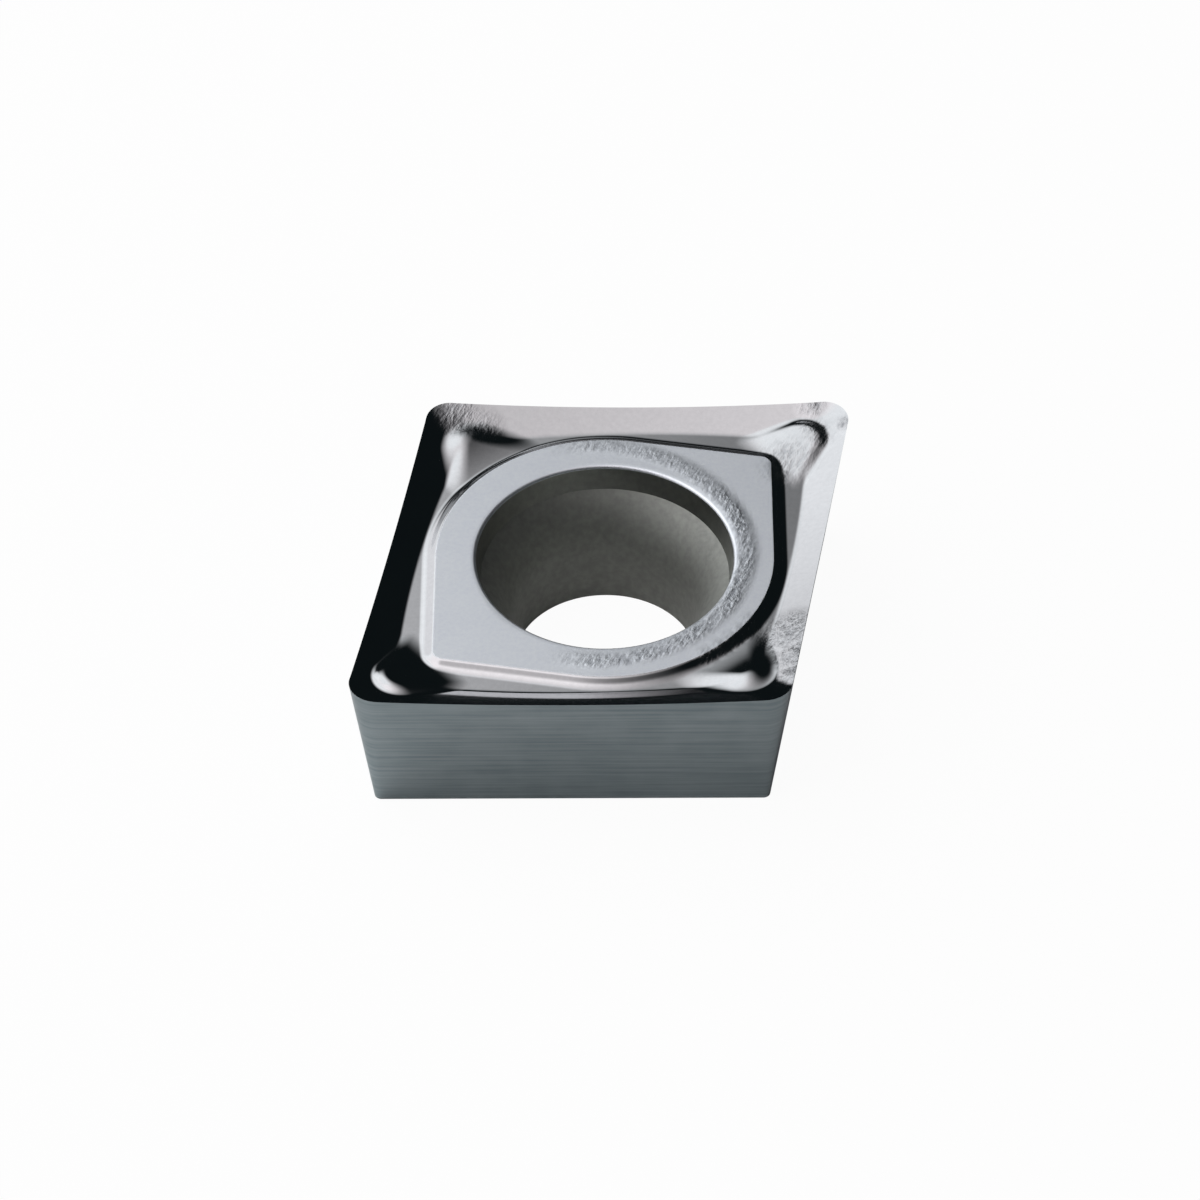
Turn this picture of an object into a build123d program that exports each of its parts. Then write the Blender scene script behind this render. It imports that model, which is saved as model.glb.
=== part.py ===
from build123d import *
from math import cos, radians, sin, sqrt, tan
import os

# Insert body
inscribed_circle = 12.7
thickness = 4.76  # base to the cutting corners
corner_angle = 80
corner_radius = 0.8
clearance_angle = 7

# Cutting edges and rake: each edge sags to its middle and the rake falls inward from it
edge_sag = 0.23
rake_angle = 22
nose_valley = 3.4  # where the two rakes behind a corner run together

# Groove and the flat land around the hole, both measured down from the cutting corners
groove_depth = 0.56
groove_flat = 0.21
land_depth = 0.37
land_wall_angle = 35
land_corner_angle = 100
land_corner_radius = 0.35
land_rim = 0.1

# Chip breaker bumps: a ramp climbs out of the groove to a crest with a round nose
acute_setback = 1.12  # corner tip to crest
acute_crest_depth = 0.15
acute_nose = 1.2  # nose radius at groove level
acute_spread = 4  # flank to diagonal, seen from above
acute_ramp_angle = 14
acute_flank_angle = 28
acute_crest_blend = 0.5
acute_foot_blend = 0.32
obtuse_setback = 1.32
obtuse_crest_depth = 0.175
obtuse_nose = 0.88
obtuse_spread = 21
obtuse_ramp_angle = 22
obtuse_flank_angle = 42
obtuse_crest_blend = 0.6
obtuse_foot_blend = 0.6

# Screw hole, from the mouth down: steep band, rounded seat, straight bore
hole_diameter = 5.5
mouth_diameter = 7.7
mouth_rim = 0.1
band_depth = 0.8
band_angle = 10
seat_radius = 2.6

# The insert is drawn with its acute corners on X and turned into place at the end
inradius = inscribed_circle / 2
side = inscribed_circle / sin(radians(corner_angle))
acute_tip = side * cos(radians(corner_angle / 2))
obtuse_tip = side * sin(radians(corner_angle / 2))
tips = [Vector(acute_tip, 0), Vector(0, obtuse_tip), Vector(-acute_tip, 0), Vector(0, -obtuse_tip)]
groove_z = thickness - groove_depth
land_z = thickness - land_depth
stand_up = (Align.CENTER, Align.CENTER, Align.MIN)

# Blank: a rhombus with round corners that narrows toward the base
outline = fillet(Polygon(*tips).vertices(), corner_radius)
blank = extrude(Pos(0, 0, thickness) * outline, -thickness, taper=clearance_angle)

# Punch: the press tool for the top face. Each rake belongs to a large cylinder that lies on the
# sagging edge with its axis tipped down and inward, so the four together leave a shallow bowl
sag_radius = (side / 2) ** 2 / (2 * edge_sag * cos(radians(rake_angle)))
punch = Pos(0, 0, groove_z) * Box(3 * side, 3 * side, groove_depth + 1, align=stand_up)
for start, end in zip(tips, tips[1:] + tips[:1]):
    along = (end - start).normalized()
    inward = Vector(0, 0, 1).cross(along)
    lowest = (start + end) / 2 + inward * edge_sag * tan(radians(clearance_angle))
    lowest += Vector(0, 0, thickness - edge_sag)
    fall = inward * cos(radians(rake_angle)) - Vector(0, 0, sin(radians(rake_angle)))
    rake = Plane(lowest, x_dir=-along, z_dir=fall)
    punch &= rake * Pos(0, sag_radius, 0) * Cylinder(sag_radius, 4 * side)
valleys = punch.edges().filter_by(lambda edge: abs((edge @ 1 - edge @ 0).Z) > groove_depth)
punch = fillet(valleys, nose_valley)

# Groove: its round bottom takes up the flat between the rake and the wall of the land
groove_radius = 0.9 * groove_flat / (tan(radians(land_wall_angle / 2)) + tan(radians(rake_angle / 2)))
punch = fillet(punch.faces().sort_by(Axis.Z)[0].edges(), groove_radius)

# Land: a disc drawn out to a corner at each end of the long diagonal
rake_run = (groove_depth - edge_sag) / tan(radians(rake_angle))
wall_run = (groove_depth - land_depth) / tan(radians(land_wall_angle))
foot_radius = inradius - rake_run - groove_flat
corner_turn = 90 - land_corner_angle / 2
touch = Vector(foot_radius, 0).rotate(Axis.Z, corner_turn)
peak = Vector(foot_radius / cos(radians(corner_turn)), 0)
kite = Polygon((0, 0), (touch.X, -touch.Y), peak, touch, align=None)
foot = Circle(foot_radius) + kite + Rot(0, 0, 180) * kite
peaks = foot.vertices().sort_by(Axis.X)
foot = fillet([peaks[0], peaks[-1]], land_corner_radius + wall_run)
land = extrude(Pos(0, 0, groove_z) * foot, groove_depth - land_depth, taper=90 - land_wall_angle)
land = fillet(land.faces().sort_by(Axis.Z)[-1].edges(), land_rim)
punch -= land
punch = fillet(punch.faces().sort_by(Axis.Z)[0].inner_wires()[0].edges(), groove_radius)


def bump(crest, crest_depth, nose, spread, ramp_angle, flank_angle, crest_blend):
    """A mound on the X axis: two flanks around a nose, under a ramp that climbs outward."""
    rise = groove_depth - crest_depth
    tip = crest + rise / tan(radians(flank_angle)) - nose + nose / sin(radians(spread))
    back = crest - 2 * rise / tan(radians(ramp_angle))
    wing = (tip - back) * tan(radians(spread))
    plan = Polygon((tip, 0), (back, wing), (back, -wing), align=None)
    plan = fillet(plan.vertices().sort_by(Axis.X)[-1:], nose)
    mound = extrude(Pos(0, 0, groove_z) * plan, rise + crest_blend / 2, taper=90 - flank_angle)
    ramp = Pos(crest, 0, groove_z + rise) * Rot(0, -ramp_angle, 0)
    mound -= ramp * Box(4 * side, 4 * side, side, align=stand_up)
    slope = mound.faces().sort_by(lambda face: face.normal_at().Z)[-1]
    return fillet(slope.edges().sort_by(Axis.X)[1:], crest_blend)


# The corner radius trims each sharp tip back to the place where the setback starts
acute_trim = corner_radius / sin(radians(corner_angle / 2)) - corner_radius
obtuse_trim = corner_radius / cos(radians(corner_angle / 2)) - corner_radius
acute_bump = bump(
    acute_tip - acute_trim - acute_setback, acute_crest_depth, acute_nose, acute_spread,
    acute_ramp_angle, acute_flank_angle, acute_crest_blend,
)
obtuse_bump = bump(
    obtuse_tip - obtuse_trim - obtuse_setback, obtuse_crest_depth, obtuse_nose, obtuse_spread,
    obtuse_ramp_angle, obtuse_flank_angle, obtuse_crest_blend,
)
mounds = (acute_bump, obtuse_bump) * 2
blends = (acute_foot_blend, obtuse_foot_blend) * 2
for turn, mound, blend in zip((0, 90, 180, 270), mounds, blends):
    mound = Rot(0, 0, turn) * mound
    hollowed = punch - mound
    punch = fillet(new_edges(punch, mound, combined=hollowed), blend)

# Screw hole, turned about its axis
hole_radius = hole_diameter / 2
mouth_radius = mouth_diameter / 2
band_z = land_z - band_depth
band_radius = mouth_radius - band_depth * tan(radians(band_angle))
seat_run = band_radius - hole_radius
seat_z = band_z - sqrt(seat_radius**2 - (seat_radius - seat_run) ** 2)
bore = Line((hole_radius, -1), (hole_radius, seat_z))
seat = TangentArc(bore @ 1, (band_radius, band_z), tangent=(0, 1))
band = Line(seat @ 1, (mouth_radius, land_z))
core = Polyline(band @ 1, (mouth_radius, thickness), (0, thickness), (0, -1), bore @ 0)
hole = revolve(Plane.XZ * make_face([bore, seat, band, core]), Axis.Z)
insert = blank - punch - hole
circles = insert.edges().filter_by(GeomType.CIRCLE)
mouth = circles.filter_by(lambda edge: edge.radius == mouth_radius)
insert = fillet(mouth, mouth_rim)

os.makedirs("parts", exist_ok=True)
export_step(Rot(0, 0, corner_angle / 2) * insert, "parts/insert.step")
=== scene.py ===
import math

import bmesh
import bpy
from mathutils import Matrix, Vector


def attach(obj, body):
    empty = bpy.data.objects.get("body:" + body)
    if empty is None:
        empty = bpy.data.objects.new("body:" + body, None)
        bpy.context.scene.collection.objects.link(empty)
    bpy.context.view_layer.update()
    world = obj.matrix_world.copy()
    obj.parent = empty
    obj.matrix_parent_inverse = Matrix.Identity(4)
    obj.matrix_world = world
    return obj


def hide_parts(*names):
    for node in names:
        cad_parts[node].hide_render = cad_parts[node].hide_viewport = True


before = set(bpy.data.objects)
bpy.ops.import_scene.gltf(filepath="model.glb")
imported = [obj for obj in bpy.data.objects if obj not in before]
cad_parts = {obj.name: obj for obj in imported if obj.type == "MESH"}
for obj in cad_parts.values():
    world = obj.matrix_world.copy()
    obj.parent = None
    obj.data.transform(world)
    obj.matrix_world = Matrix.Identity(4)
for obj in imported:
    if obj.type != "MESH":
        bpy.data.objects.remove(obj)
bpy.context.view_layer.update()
print("frame loaded")

mm = 0.001
holeMetal, bandMetal, landMetal, rakeMetal, flankMetal = range(5)  # in the order of the metals below

# millimetres and degrees; drawn with the sharp corners on X, then turned into place
insertForm = {
    "inscribedCircle": 12.7, "thickness": 4.76, "cornerAngle": 80, "cornerRadius": 0.8, "clearance": 7,
    "edgeSag": 0.23, "rake": 22, "noseValley": 3.2,
    "grooveDepth": 0.56, "grooveFlat": 0.21, "grooveShare": 0.9,  # of the flat that the round bottom takes
    "landDepth": 0.37, "landWall": 35, "landTurn": 40, "landCorner": 0.35, "landRim": 0.1,
    "sharpBump": {"setback": 1.12, "depth": 0.15, "nose": 1.2, "spread": 4, "ramp": 14, "flank": 28,
                  "crestBlend": 0.5, "footBlend": 0.32},
    "wideBump": {"setback": 1.32, "depth": 0.175, "nose": 0.88, "spread": 21, "ramp": 22, "flank": 42,
                 "crestBlend": 0.6, "footBlend": 0.6},
    "footShare": 0.7,  # of the rake's fall, added to the bend at the foot of a bump
    "bore": 2.75, "mouth": 3.85, "mouthRim": 0.1, "bandDepth": 0.8, "bandAngle": 10, "seatRadius": 2.6,

    # how finely it is drawn: round the body, then up the bore, out to the edge and down the flank; the
    # finer rings reach past the rim of the land and the foot of its wall
    "sideSteps": 150, "cornerSteps": 24,
    "seatSteps": 14, "bandSteps": 3, "mouthSteps": 5, "landSteps": 12, "rimSteps": 8, "wallSteps": 14,
    "rakeSteps": 66, "flankSteps": 8, "rimReach": 0.1, "wallReach": 0.25,
    "weld": 0.0001, "crease": 34,

    # where the press left a coarse skin on the top: a ring by angle, radius and strength, whose core keeps
    # the full strength, and spots by centre, reach and strength
    "pressedAbove": 4, "pressedWidth": 0.46, "pressedCore": 1.3,
    "pressedRing": (
        (-115, 4.45, 0), (-95, 4.4, 0.8), (-75, 4.3, 1), (-50, 4.2, 1), (-15, 4.15, 1),
        (5, 4.25, 1), (35, 4.3, 1), (60, 4.5, 0.8), (95, 4.8, 0.6), (115, 4.9, 0),
    ),
    "pressedSpots": (
        ((-4.5, 5.9), 1, 0.9), ((-3.7, 5.6), 0.8, 0.6),  # wide corner, far left
        ((6.3, 6.2), 0.6, 1), ((7.3, 5.4), 0.5, 1),  # sharp corner, far right
        ((5.6, 4.3), 1.2, 0.8), ((6.4, 5.2), 0.9, 1), ((5.2, 3.7), 0.9, 0.7),  # the bump there
        ((5.4, -3.3), 1.2, 0.8), ((5.7, -4.4), 1, 0.8), ((5.5, -5.2), 0.6, 0.8),  # rake, near right
        ((4.25, -2.75), 0.5, 0.6), ((4, -3.1), 0.5, 0.6), ((3.7, -3.45), 0.5, 0.6),  # wall of the land
        ((3.35, -3.8), 0.5, 0.6), ((2.95, -4.1), 0.5, 0.6),
    ),
}


def tanDeg(angle):
    return math.tan(math.radians(angle))


def polar(radius, angle):
    return Vector((radius * math.cos(angle), radius * math.sin(angle)))


def over(a, b, radius, bend):  # the higher of two slopes, rounded where they meet
    blend = radius * bend ** 2 / 2
    share = max(blend - abs(a - b), 0) / blend
    return max(a, b) + share * share * blend / 4


def under(a, b, radius, bend):  # the lower of two slopes, rounded where they meet
    return -over(-a, -b, radius, bend)


class InsertShape:
    def __init__(self, form):
        self.form = form
        self.inradius = form["inscribedCircle"] / 2
        self.lean = math.radians(90 - form["cornerAngle"] / 2)  # from the long diagonal to a side's normal
        self.skew = self.inradius / tanDeg(form["cornerAngle"])
        self.grooveZ = form["thickness"] - form["grooveDepth"]
        self.landZ = form["thickness"] - form["landDepth"]
        side = form["inscribedCircle"] / math.sin(math.radians(form["cornerAngle"]))
        self.arch = form["edgeSag"] / (side / 2) ** 2
        self.climb = self.arch * side  # of an edge where it meets the next
        self.wall = tanDeg(form["landWall"])
        self.fall = tanDeg(form["rake"])
        self.wallRun = (form["grooveDepth"] - form["landDepth"]) / self.wall
        rakeRun = (form["grooveDepth"] - form["edgeSag"]) / self.fall
        self.landRadius = self.inradius - rakeRun - form["grooveFlat"] - self.wallRun
        bends = tanDeg(form["landWall"] / 2) + tanDeg(form["rake"] / 2)
        self.grooveRadius = form["grooveShare"] * form["grooveFlat"] / bends
        bare = self.inradius - form["cornerRadius"]
        self.sharpTip = bare / math.cos(self.lean) + form["cornerRadius"]
        self.wideTip = bare / math.sin(self.lean) + form["cornerRadius"]

    def rake(self, u, v):  # height of the rake of the side that faces between +U and +V
        form = self.form
        out = u * math.cos(self.lean) + v * math.sin(self.lean)
        along = v * math.cos(self.lean) - u * math.sin(self.lean) + self.skew
        inward = self.inradius - form["edgeSag"] * tanDeg(form["clearance"]) - out
        return form["thickness"] - form["edgeSag"] + self.arch * along ** 2 - inward * self.fall

    def landOut(self, u, v):  # distance outside the rim of the land, for u and v above zero
        corner = self.form["landCorner"]
        turn = math.radians(self.form["landTurn"])
        centre = (self.landRadius - corner) / math.cos(turn)
        if u > centre and v < (u - centre) * math.tan(turn):
            return math.hypot(u - centre, v) - corner
        if v < u * math.tan(turn):
            return u * math.cos(turn) + v * math.sin(turn) - self.landRadius
        return math.hypot(u, v) - self.landRadius

    def bump(self, p, q, tip, size):  # its height, with p along its diagonal and q across
        rise = self.form["grooveDepth"] - size["depth"]
        fall, climb, splay = tanDeg(size["flank"]), tanDeg(size["ramp"]), math.radians(size["spread"])
        crest = tip - size["setback"]
        centre = crest + rise / fall - size["nose"]
        if math.atan2(q, p - centre) < math.pi / 2 - splay:
            out = math.hypot(p - centre, q) - size["nose"]
        else:
            out = (p - centre) * math.sin(splay) + q * math.cos(splay) - size["nose"]
        ramp = self.grooveZ + rise + (p - crest) * climb
        return under(ramp, self.grooveZ - out * fall, size["crestBlend"], fall + climb)

    def height(self, u, v):  # of the top face
        form = self.form
        u, v = abs(u), abs(v)
        sharp = 2 * (self.fall * math.sin(self.lean) - self.climb * math.cos(self.lean))
        wide = 2 * (self.fall * math.cos(self.lean) - self.climb * math.sin(self.lean))
        z = over(self.rake(u, v), self.rake(u, -v), form["noseValley"], sharp)
        z = over(z, self.rake(-u, v), form["noseValley"], wide)
        z = over(z, self.grooveZ, self.grooveRadius, self.fall)
        sizes = ((form["sharpBump"], self.sharpTip, u, v), (form["wideBump"], self.wideTip, v, u))
        for size, tip, p, q in sizes:
            bend = tanDeg(size["flank"]) + form["footShare"] * self.fall
            z = over(z, self.bump(p, q, tip, size), size["footBlend"], bend)
        land = under(self.landZ, self.landZ - self.landOut(u, v) * self.wall, form["landRim"], self.wall)
        return over(z, land, self.grooveRadius, self.wall)

    def rimRadius(self, angle):  # from the axis to the rim of the land, closed in on by halves
        near, far = self.landRadius * 0.9, self.landRadius * 1.4  # the rim lies between them
        for half in range(30):
            middle = (near + far) / 2
            point = polar(middle, angle)
            if self.landOut(abs(point.x), abs(point.y)) > 0:
                far = middle
            else:
                near = middle
        return near

    def outline(self, level):  # points round the body at one height, in the same order at every height
        form = self.form
        shrink = (form["thickness"] - level) * tanDeg(form["clearance"])
        radius = form["cornerRadius"] - shrink
        reach = self.inradius - shrink - radius
        turns = (-self.lean, self.lean, math.pi - self.lean, math.pi + self.lean, 2 * math.pi - self.lean)
        centres = [polar(reach / math.cos(self.lean), 0), polar(reach / math.sin(self.lean), math.pi / 2)]
        centres += [-centres[0], -centres[1], centres[0]]
        points = []
        for k in range(4):
            for i in range(form["cornerSteps"]):
                angle = turns[k] + (turns[k + 1] - turns[k]) * i / form["cornerSteps"]
                points.append(centres[k] + polar(radius, angle))
            for i in range(form["sideSteps"]):
                middle = centres[k].lerp(centres[k + 1], i / form["sideSteps"])
                points.append(middle + polar(radius, turns[k + 1]))
        return points


def stepsBetween(a, b, count):
    return [a + (b - a) * (i + 1) / count for i in range(count)]


def ease(share):
    share = min(max(share, 0), 1)
    return share * share * (3 - 2 * share)


def pressedAt(spot, form):  # from 0 to 1, how coarse the skin is at a point
    found = []
    for centre, reach, strength in form["pressedSpots"]:
        found.append(strength * ease(1 - (spot - Vector(centre)).length / reach))
    angle = math.degrees(math.atan2(spot.y, spot.x))
    ring = form["pressedRing"]
    for (first, near, weak), (last, far, strong) in zip(ring, ring[1:]):
        share = (angle - first) / (last - first)
        if 0 <= share < 1:
            off = abs(spot.length - near - (far - near) * share)
            fade = ease(form["pressedCore"] * (1 - off / form["pressedWidth"]))
            found.append((weak + (strong - weak) * share) * fade)
    return max(found)


def cuttingEdge(shape, form):  # where the top face meets the flank: a point and its height, all round
    edge = []
    for top, bottom in zip(shape.outline(form["thickness"]), shape.outline(0)):
        level = form["thickness"]
        for step in range(6):  # each step comes nearer
            point = bottom.lerp(top, level / form["thickness"])
            level = shape.height(point.x, point.y)
        edge.append((point, level))
    levels = [level for point, level in edge]
    print("cutting edge between", round(min(levels), 3), "and", round(max(levels), 3))
    return edge


def holeSection(shape, form):  # radius, height and metal, from the base up to where the land starts
    bandZ = shape.landZ - form["bandDepth"]
    bandRadius = form["mouth"] - form["bandDepth"] * tanDeg(form["bandAngle"])
    bend = math.acos(1 - (bandRadius - form["bore"]) / form["seatRadius"])
    seatZ = bandZ - form["seatRadius"] * math.sin(bend)
    section = [(form["bore"], 0, flankMetal), (form["bore"], seatZ / 2, holeMetal)]
    for i in range(form["seatSteps"] + 1):
        a = bend * i / form["seatSteps"]
        radius = form["bore"] + form["seatRadius"] * (1 - math.cos(a))
        section.append((radius, seatZ + form["seatRadius"] * math.sin(a), holeMetal))

    rim = form["mouthRim"]
    turn = math.radians(90 - form["bandAngle"])
    lean = math.radians(form["bandAngle"])
    foot = rim * math.tan(turn / 2)
    topRadius = form["mouth"] - foot * math.sin(lean)
    topZ = shape.landZ - foot * math.cos(lean)
    for step in stepsBetween(0, 1, form["bandSteps"]):
        radius = bandRadius + (topRadius - bandRadius) * step
        section.append((radius, bandZ + (topZ - bandZ) * step, bandMetal))
    for step in stepsBetween(0, 1, form["mouthSteps"]):
        a = turn * (1 - step)
        radius = form["mouth"] + foot - rim * math.sin(a)
        section.append((radius, shape.landZ - rim * (1 - math.cos(a)), landMetal))
    return section


def makeColumn(shape, form, hole, point, level, foot):  # up the hole, out to the edge and down the flank
    angle = math.atan2(point.y, point.x)
    column = [(polar(radius, angle).to_3d() + Vector((0, 0, z)), metal) for radius, z, metal in hole]
    rim = shape.rimRadius(angle)
    rimStart, rimEnd = rim - form["rimReach"], rim + form["rimReach"]
    wallEnd = rim + shape.wallRun + form["wallReach"]
    radii = [(r, landMetal) for r in stepsBetween(hole[-1][0], rimStart, form["landSteps"])]
    for r in stepsBetween(rimStart, rimEnd, form["rimSteps"]):
        radii.append((r, landMetal if r < rim else rakeMetal))
    radii += [(r, rakeMetal) for r in stepsBetween(rimEnd, wallEnd, form["wallSteps"])]
    radii += [(r, rakeMetal) for r in stepsBetween(wallEnd, point.length, form["rakeSteps"])]
    for r, metal in radii[:-1]:
        spot = polar(r, angle)
        column.append((Vector((spot.x, spot.y, shape.height(spot.x, spot.y))), metal))
    top = Vector((point.x, point.y, level))
    column.append((top, rakeMetal))
    column += [(top.lerp(foot, step), flankMetal) for step in stepsBetween(0, 1, form["flankSteps"])]
    column.append((foot.lerp(column[0][0], 0.5), flankMetal))  # halfway back to the bore, under the base
    return column


def makeInsert(form):
    shape = InsertShape(form)
    edge = cuttingEdge(shape, form)
    hole = holeSection(shape, form)
    columns = []
    for (point, level), foot in zip(edge, shape.outline(0)):
        columns.append(makeColumn(shape, form, hole, point, level, foot.to_3d()))
    around, across = len(columns), len(columns[0])
    bm = bmesh.new()
    bmesh.ops.create_grid(bm, x_segments=around, y_segments=across, size=1)
    print("grid", len(bm.verts), around, across)

    def cell(place):  # column and row of a grid point; the last ones lie on the first
        return round((place.x + 1) / 2 * around) % around, round((place.y + 1) / 2 * across) % across

    for face in bm.faces:
        j, k = cell(max((vert.co for vert in face.verts), key=lambda place: place.x + place.y))
        face.material_index = columns[j][k][1]
        face.smooth = True
    for vert in bm.verts:
        j, k = cell(vert.co)
        vert.co = columns[j][k][0] * mm
    bmesh.ops.remove_doubles(bm, verts=bm.verts, dist=form["weld"] * mm)
    turn = Matrix.Rotation(math.radians(form["cornerAngle"] / 2), 3, "Z")
    bmesh.ops.rotate(bm, verts=bm.verts, cent=(0, 0, 0), matrix=turn)
    bmesh.ops.recalc_face_normals(bm, faces=bm.faces)
    for line in bm.edges:
        if line.is_manifold and line.calc_face_angle() > math.radians(form["crease"]):
            line.smooth = False
    mesh = bpy.data.meshes.new("cuttingInsert")
    bm.to_mesh(mesh)
    gaps = sum(not line.is_manifold for line in bm.edges)
    print("insert", len(bm.verts), "points", len(bm.faces), "faces", "open", gaps)
    bm.free()
    pressed = mesh.attributes.new("pressed", "FLOAT", "POINT")
    for vert, coarse in zip(mesh.vertices, pressed.data):
        if vert.co.z > form["pressedAbove"] * mm:
            coarse.value = pressedAt(vert.co.xy / mm, form)
    return bpy.data.objects.new("cuttingInsert", mesh)


insert = makeInsert(insertForm)
bpy.context.scene.collection.objects.link(insert)


def addNode(tree, kind, settings=None):  # a setting that is another node's socket is linked
    node = tree.nodes.new(kind)
    for key, value in (settings or {}).items():
        if isinstance(value, bpy.types.NodeSocket):
            tree.links.new(value, node.inputs[key])
        elif isinstance(key, str) and hasattr(node, key):
            setattr(node, key, value)
        else:
            node.inputs[key].default_value = value
    return node


def calc(tree, operation, *values):
    settings = {"operation": operation, **dict(enumerate(values))}
    return addNode(tree, "ShaderNodeMath", settings).outputs[0]


def grow(tree, value, low, high, curve="LINEAR"):  # from nothing at low to full at high
    settings = {"interpolation_type": curve, "Value": value, "From Min": low, "From Max": high}
    return addNode(tree, "ShaderNodeMapRange", settings).outputs[0]


def noise(tree, place, settings):
    return addNode(tree, "ShaderNodeTexNoise", {"Vector": place, **settings}).outputs["Fac"]


def mixColour(tree, share, first, second):
    settings = {"data_type": "RGBA", 0: share, 6: first, 7: second}
    return addNode(tree, "ShaderNodeMix", settings).outputs[2]


def mixShader(tree, share, first, second):
    settings = {0: share, 1: first.outputs[0], 2: second.outputs[0]}
    return addNode(tree, "ShaderNodeMixShader", settings).outputs[0]


# what the metals share; the relief is in millimetres, and the turn of the skin in radians
carbideFinish = {
    "grain": {"Detail": 4, "Roughness": 0.6},
    "skin": {"Detail": 3, "Roughness": 0.6},
    "skinLines": {"vector_type": "TEXTURE", "Rotation": (0, 0, 1.05), "Scale": (2.4, 1, 1)},
    "cloud": {"Detail": 2, "Scale": 900},
    "noiseRange": (0.35, 0.65), "cloudTone": 0.25,
    "pressedLeast": 0.75, "pressedCloud": 0.35,
    "speckRange": (0.55, 0.4), "speckLeast": 0.25,
    "relief": 0.01,
}


# one finish for every face: a fine grain, drawn into lines where the face was ground, and the coarse skin
# that the press left where the attribute says so
def makeFinish(setup):
    tree = bpy.data.node_groups.new("carbideFinish", "ShaderNodeTree")
    for label in ("Dark", "Pale", "Speck"):
        tree.interface.new_socket(label, in_out="INPUT", socket_type="NodeSocketColor")
    for label in ("Grain", "Stretch", "Roughness", "Relief", "Skin Grain", "Skin Roughness", "Skin Relief"):
        tree.interface.new_socket(label, in_out="INPUT", socket_type="NodeSocketFloat")
    for label, kind in (("Color", "Color"), ("Roughness", "Float"), ("Normal", "Vector")):
        tree.interface.new_socket(label, in_out="OUTPUT", socket_type="NodeSocket" + kind)
    given = tree.nodes.new("NodeGroupInput").outputs
    place = addNode(tree, "ShaderNodeTexCoord").outputs["Object"]

    stretch = addNode(tree, "ShaderNodeCombineXYZ", {"X": given["Stretch"], "Y": given["Stretch"], "Z": 1})
    product = {"operation": "MULTIPLY", 0: place, 1: stretch.outputs[0]}
    drawn = addNode(tree, "ShaderNodeVectorMath", product).outputs[0]
    grain = noise(tree, drawn, {"Scale": given["Grain"], **setup["grain"]})
    aslant = addNode(tree, "ShaderNodeMapping", {"Vector": place, **setup["skinLines"]}).outputs[0]
    skin = noise(tree, aslant, {"Scale": given["Skin Grain"], **setup["skin"]})
    blotch = grow(tree, noise(tree, place, setup["cloud"]), *setup["noiseRange"])

    pressed = addNode(tree, "ShaderNodeAttribute", {"attribute_name": "pressed"}).outputs["Fac"]
    uneven = calc(tree, "MULTIPLY_ADD", blotch, setup["pressedCloud"], setup["pressedLeast"])
    pressed = calc(tree, "MULTIPLY", pressed, uneven)
    tone = calc(tree, "MULTIPLY", blotch, setup["cloudTone"])
    fleck = grow(tree, grain, *setup["noiseRange"])
    tone = calc(tree, "MULTIPLY_ADD", fleck, 1 - setup["cloudTone"], tone)
    speck = grow(tree, skin, *setup["speckRange"])
    speck = calc(tree, "MULTIPLY_ADD", speck, 1 - setup["speckLeast"], setup["speckLeast"])
    speck = calc(tree, "MULTIPLY", speck, pressed)
    colour = mixColour(tree, tone, given["Dark"], given["Pale"])
    colour = mixColour(tree, speck, colour, given["Speck"])

    rough = {0: pressed, 2: given["Roughness"], 3: given["Skin Roughness"]}
    rough = addNode(tree, "ShaderNodeMix", rough).outputs[0]
    height = calc(tree, "MULTIPLY", skin, calc(tree, "MULTIPLY", pressed, given["Skin Relief"]))
    height = calc(tree, "MULTIPLY_ADD", grain, given["Relief"], height)
    bump = addNode(tree, "ShaderNodeBump", {"Height": height, "Distance": setup["relief"] * mm}).outputs[0]
    addNode(tree, "NodeGroupOutput", {"Color": colour, "Roughness": rough, "Normal": bump})
    return tree


def metal(name, finish, look):
    material = bpy.data.materials.new(name)
    material.use_nodes = True
    tree = material.node_tree
    shader = tree.nodes["Principled BSDF"]
    shader.inputs["Metallic"].default_value = 1
    group = addNode(tree, "ShaderNodeGroup", {"node_tree": finish, **look})
    for source, label in (("Color", "Base Color"), ("Roughness", "Roughness"), ("Normal", "Normal")):
        tree.links.new(group.outputs[source], shader.inputs[label])
    return material


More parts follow.
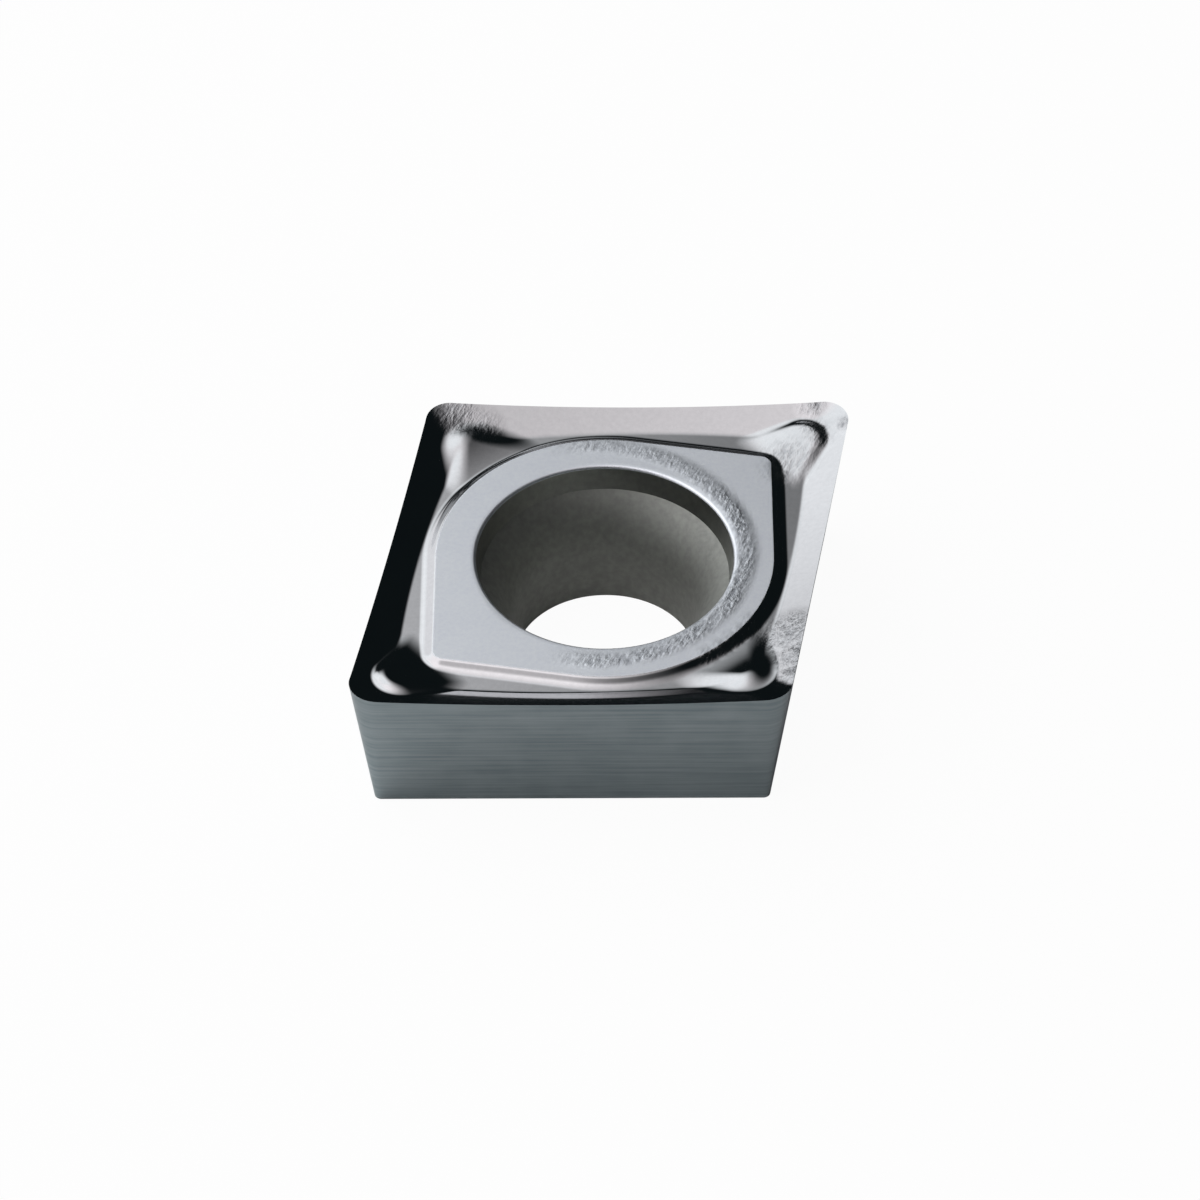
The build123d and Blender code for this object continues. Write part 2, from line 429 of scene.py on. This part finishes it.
# the press leaves no skin as deep down as the sintered hole
metals = {
    "sinteredHole": {
        "Dark": (0.35, 0.36, 0.34, 1), "Pale": (0.44, 0.45, 0.425, 1),
        "Grain": 5000, "Stretch": 1, "Roughness": 0.66, "Relief": 0.15,
    },
    # the band's colour is darker than the rest of the hole: painted shade, standing in for the dark that
    # its polished face reflects
    "screwBandPaintedShade": {
        "Dark": (0.31, 0.32, 0.305, 1), "Pale": (0.38, 0.39, 0.37, 1), "Speck": (0.3, 0.3, 0.3, 1),
        "Grain": 5000, "Stretch": 1, "Roughness": 0.3, "Relief": 0.1,
        "Skin Grain": 4000, "Skin Roughness": 0.4, "Skin Relief": 0.3,
    },
    # the land's colour is lifted nearly to white, far above the polished rake of the same carbide: painted
    # light on top of its satin finish
    "satinLandPaintedLight": {
        "Dark": (0.87, 0.9, 0.96, 1), "Pale": (0.93, 0.96, 1, 1), "Speck": (0.5, 0.52, 0.56, 1),
        "Grain": 8000, "Stretch": 1, "Roughness": 0.48, "Relief": 0.12,
        "Skin Grain": 8000, "Skin Roughness": 0.26, "Skin Relief": 2.5,
    },
    "polishedRake": {
        "Dark": (0.56, 0.56, 0.575, 1), "Pale": (0.605, 0.605, 0.62, 1), "Speck": (0.3, 0.305, 0.32, 1),
        "Grain": 7000, "Stretch": 1, "Roughness": 0.07, "Relief": 0,
        "Skin Grain": 7000, "Skin Roughness": 0.3, "Skin Relief": 4.5,
    },
    "groundFlank": {
        "Dark": (0.31, 0.38, 0.4, 1), "Pale": (0.48, 0.55, 0.57, 1), "Speck": (0.3, 0.35, 0.38, 1),
        "Grain": 9000, "Stretch": 0.02, "Roughness": 0.18, "Relief": 0.12,
        "Skin Grain": 4000, "Skin Roughness": 0.3, "Skin Relief": 0.2,
    },
}
finish = makeFinish(carbideFinish)
for name, look in metals.items():
    insert.data.materials.append(metal(name, finish, look))
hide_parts("insert")
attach(insert, "root")
print("metals on the insert:", *metals)

# millimetres and degrees, with the clip in metres
cameraSetup = {
    "target": (-0.154, 0, 2.524), "azimuth": 0.4311, "elevation": 44.848, "roll": -0.5203,
    "distance": 157.83, "lens": 157.92, "sensor": 36, "clip": (0.01, 20),
}


def makeCamera(setup):
    az, el, roll = (math.radians(setup[angle]) for angle in ("azimuth", "elevation", "roll"))
    back = Vector((math.sin(az) * math.cos(el), -math.cos(az) * math.cos(el), math.sin(el)))
    right = (-back).cross(Vector((0, 0, 1))).normalized()
    up = right.cross(-back)
    right, up = right * math.cos(roll) + up * math.sin(roll), up * math.cos(roll) - right * math.sin(roll)
    data = bpy.data.cameras.new("camera")
    data.lens = setup["lens"]
    data.sensor_width = setup["sensor"]
    data.clip_start, data.clip_end = setup["clip"]
    camera = bpy.data.objects.new("camera", data)
    turn = Matrix((right, up, back)).transposed().to_4x4()
    place = (Vector(setup["target"]) + back * setup["distance"]) * mm
    camera.matrix_world = Matrix.Translation(place) @ turn
    bpy.context.scene.collection.objects.link(camera)
    bpy.context.scene.camera = camera


makeCamera(cameraSetup)
print("camera set")

# millimetres and degrees; the fades are for the left, right, near and far edge of the card, and its colour
# turns from near to far
softboxes = {
    "window": {
        "centre": (-118, 205, 290), "turn": (0, 0, 12.5), "size": (230, 300), "radiance": 1.32,
        "near": (0.95, 0.985, 1, 1), "far": (0.95, 0.985, 1, 1), "fades": (90, 90, 90, 90),
    },
    "overhead": {
        "centre": (-314, 206, 300), "turn": (0, 0, 12.5), "size": (836, 932), "radiance": 1.42,
        "near": (1, 0.965, 0.975, 1), "far": (0.95, 0.985, 1, 1), "fades": (150, 242, 150, 409),
    },
    "leftWall": {
        "centre": (-900, 800, 1500), "turn": (90, 0, 90), "size": (3300, 2980), "radiance": 1.15,
        "near": (0.97, 0.98, 1, 1), "far": (0.97, 0.98, 1, 1), "fades": (130, 860, 80, 1190),
    },
}


def makeCard(name, size):  # a flat sheet, in metres
    bm = bmesh.new()
    bmesh.ops.create_grid(bm, x_segments=1, y_segments=1, size=0.5)
    bmesh.ops.scale(bm, verts=bm.verts, vec=(*size, 1))
    mesh = bpy.data.meshes.new(name)
    bm.to_mesh(mesh)
    bm.free()
    card = bpy.data.objects.new(name, mesh)
    bpy.context.scene.collection.objects.link(card)
    return card


def softbox(name, box):  # a glowing card whose four edges fade out
    width, depth = box["size"]
    card = makeCard(name, (width * mm, depth * mm))
    card.location = Vector(box["centre"]) * mm
    card.rotation_euler = [math.radians(angle) for angle in box["turn"]]
    card.visible_camera = False
    material = bpy.data.materials.new(name)
    material.use_nodes = True
    tree = material.node_tree
    place = addNode(tree, "ShaderNodeTexCoord").outputs["Object"]
    place = addNode(tree, "ShaderNodeSeparateXYZ", {0: place}).outputs
    left, right, near, far = box["fades"]
    strength = 1
    for axis, half, low, high in (("X", width / 2, left, right), ("Y", depth / 2, near, far)):
        for edge, fade in ((-half, low), (half, -high)):
            share = grow(tree, place[axis], edge * mm, (edge + fade) * mm, "SMOOTHSTEP")
            strength = calc(tree, "MULTIPLY", share, strength)
    deep = grow(tree, place["Y"], -depth / 4 * mm, depth / 6 * mm)
    colour = mixColour(tree, deep, box["near"], box["far"])
    clear = addNode(tree, "ShaderNodeBsdfTransparent")
    glow = addNode(tree, "ShaderNodeEmission", {"Color": colour, "Strength": box["radiance"]})
    tree.links.new(mixShader(tree, strength, clear, glow), tree.nodes["Material Output"].inputs["Surface"])
    card.data.materials.append(material)


for name, box in softboxes.items():
    softbox(name, box)
print("softboxes hung:", *softboxes)

# white to the camera, dark to the polished faces
roomSetup = {"pale": (1, 1, 1, 1), "dim": (0.006, 0.009, 0.01, 1)}


def makeRoom(setup):
    world = bpy.data.worlds.new("studio")
    bpy.context.scene.world = world
    world.use_nodes = True
    tree = world.node_tree
    seen = addNode(tree, "ShaderNodeLightPath").outputs["Is Camera Ray"]
    dim = tree.nodes["Background"]
    dim.inputs["Color"].default_value = setup["dim"]
    pale = addNode(tree, "ShaderNodeBackground", {"Color": setup["pale"], "Strength": 1})
    tree.links.new(mixShader(tree, seen, dim, pale), tree.nodes["World Output"].inputs["Surface"])


makeRoom(roomSetup)

# metres; the floor glows pale for the camera, hardly at all for the polished faces, and keeps some shadow
floorSetup = {
    "size": (6, 6), "colour": (0.8, 0.8, 0.8, 1), "roughness": 0.9, "glow": 1.02, "glowSeen": 0.94,
    "glowMirrored": 0.01,
}


def makeFloor(setup):
    floor = makeCard("floor", setup["size"])
    material = bpy.data.materials.new("paleFloor")
    material.use_nodes = True
    tree = material.node_tree
    shader = tree.nodes["Principled BSDF"]
    shader.inputs["Base Color"].default_value = setup["colour"]
    shader.inputs["Roughness"].default_value = setup["roughness"]
    path = addNode(tree, "ShaderNodeLightPath").outputs
    seen = calc(tree, "MULTIPLY", path["Is Camera Ray"], setup["glowSeen"])
    share = calc(tree, "MULTIPLY_ADD", path["Is Glossy Ray"], setup["glowMirrored"], seen)
    glow = addNode(tree, "ShaderNodeEmission", {"Color": (1, 1, 1, 1), "Strength": setup["glow"]})
    tree.links.new(mixShader(tree, share, shader, glow), tree.nodes["Material Output"].inputs["Surface"])
    floor.data.materials.append(material)


makeFloor(floorSetup)
print("room and floor made")

bpy.context.scene.view_settings.view_transform = "Standard"
